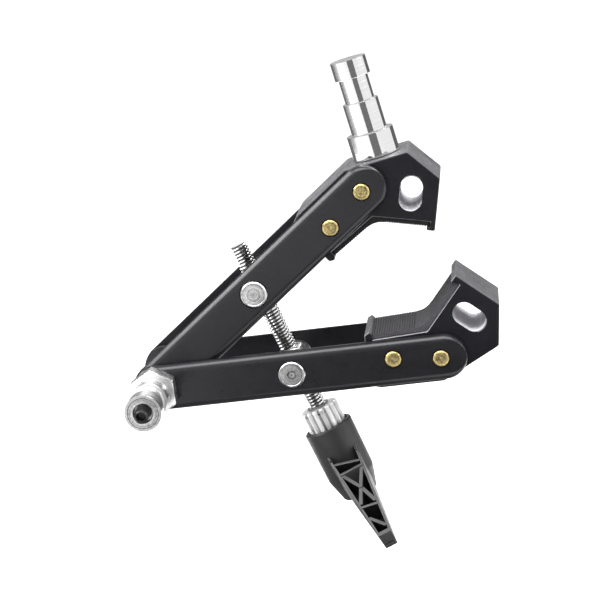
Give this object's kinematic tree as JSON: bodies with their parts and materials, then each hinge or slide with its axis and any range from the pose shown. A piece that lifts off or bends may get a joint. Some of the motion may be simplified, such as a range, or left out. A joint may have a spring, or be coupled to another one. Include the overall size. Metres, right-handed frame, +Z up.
{
  "type": "super clamp",
  "caption": "Scissor clamp with two V-jaws on twin-bar arms, a threaded spindle with a ratchet lever, and stepped studs on the top jaw and the hinge.",
  "frame": {"origin": "on the hinge axis, at the shoulder of the hinge stud, where a stand's socket stops", "axes": "-Y out of the end of the hinge stud, +X along the lower arm towards its jaw, +Z up, towards the upper arm"},
  "size_m": [0.1644, 0.1011, 0.2054],
  "materials": {
    "bar_coating": "satin black powder coat on steel bar",
    "jaw_coating": "black powder coat with a fine texture on cast aluminium",
    "pad_rubber": "matt black ribbed rubber",
    "rivet_brass": "turned brass",
    "turned_steel": "turned, with fine rings",
    "zinc_plate": "bright zinc plate",
    "stud_metal": "polished",
    "black_oxide": "black oxide",
    "washer_nylon": "matt black nylon",
    "spring_steel": "drawn wire",
    "lever_plastic": "matt black glass-filled nylon"
  },
  "bodies": {
    "lower_arm": {"lower_front_bar": "bar_coating", "lower_back_bar": "bar_coating", "lower_jaw": "jaw_coating", "lower_jaw_pad": "pad_rubber", "lower_inner_rivet": "rivet_brass", "lower_outer_rivet": "rivet_brass", "hinge_bolt": "turned_steel", "hinge_washer": "zinc_plate", "hinge_sleeve": "zinc_plate", "hinge_stud": "stud_metal", "hinge_stud_screw": "black_oxide"},
    "upper_arm": {"upper_front_bar": "bar_coating", "upper_back_bar": "bar_coating", "upper_jaw": "jaw_coating", "upper_jaw_pad": "pad_rubber", "upper_inner_rivet": "rivet_brass", "upper_outer_rivet": "rivet_brass", "top_stud": "stud_metal", "top_stud_screw": "black_oxide"},
    "lower_trunnion": {"lower_trunnion": "turned_steel"},
    "upper_trunnion": {"upper_trunnion": "turned_steel"},
    "thrust_washer": {"thrust_washer": "washer_nylon"},
    "spindle": {"spindle": "zinc_plate", "splined_hub": "zinc_plate", "lever_screw": "zinc_plate", "lever_spring": "spring_steel"},
    "lever": {"lever_handle": "lever_plastic"}
  },
  "joints": [
    {"name": "arm_hinge", "type": "hinge", "parent": "lower_arm", "child": "upper_arm", "pos_m": [0, 0, 0], "axis": [0, -1, 0], "range_deg": [-8, 9]},
    {"name": "lower_trunnion_turn", "type": "hinge", "parent": "lower_arm", "child": "lower_trunnion", "pos_m": [0.0609, 0, 0], "axis": [0, -1, 0], "range_deg": [-4.1, 4.6]},
    {"name": "upper_trunnion_turn", "type": "hinge", "parent": "upper_arm", "child": "upper_trunnion", "pos_m": [0.04861, 0, 0.03669], "axis": [0, 1, 0], "range_deg": [-4.1, 4.6]},
    {"name": "spindle_feed", "type": "slide", "parent": "upper_trunnion", "child": "thrust_washer", "axis": [-0.3176, 0, 0.9482], "range_m": [-0.015, 0.00237]},
    {"name": "spindle_turn", "type": "hinge", "parent": "thrust_washer", "child": "spindle", "pos_m": [0.0609, 0.03265, 0], "axis": [-0.3176, 0, 0.9482], "range_deg": [-3600, 570]},
    {"name": "lever_pull", "type": "slide", "parent": "spindle", "child": "lever", "axis": [0.3176, 0, -0.9482], "range_m": [0, 0.0064], "stiffness_N_per_m": 1500, "springref_m": -0.004, "deforming": ["lever_spring"]}
  ],
  "couplings": [
    {"joint": "lower_trunnion_turn", "follows": "arm_hinge", "ratio": 0.5},
    {"joint": "upper_trunnion_turn", "follows": "arm_hinge", "ratio": 0.5},
    {"joint": "spindle_turn", "follows": "spindle_feed", "rad_per_m": 4188.8}
  ]
}
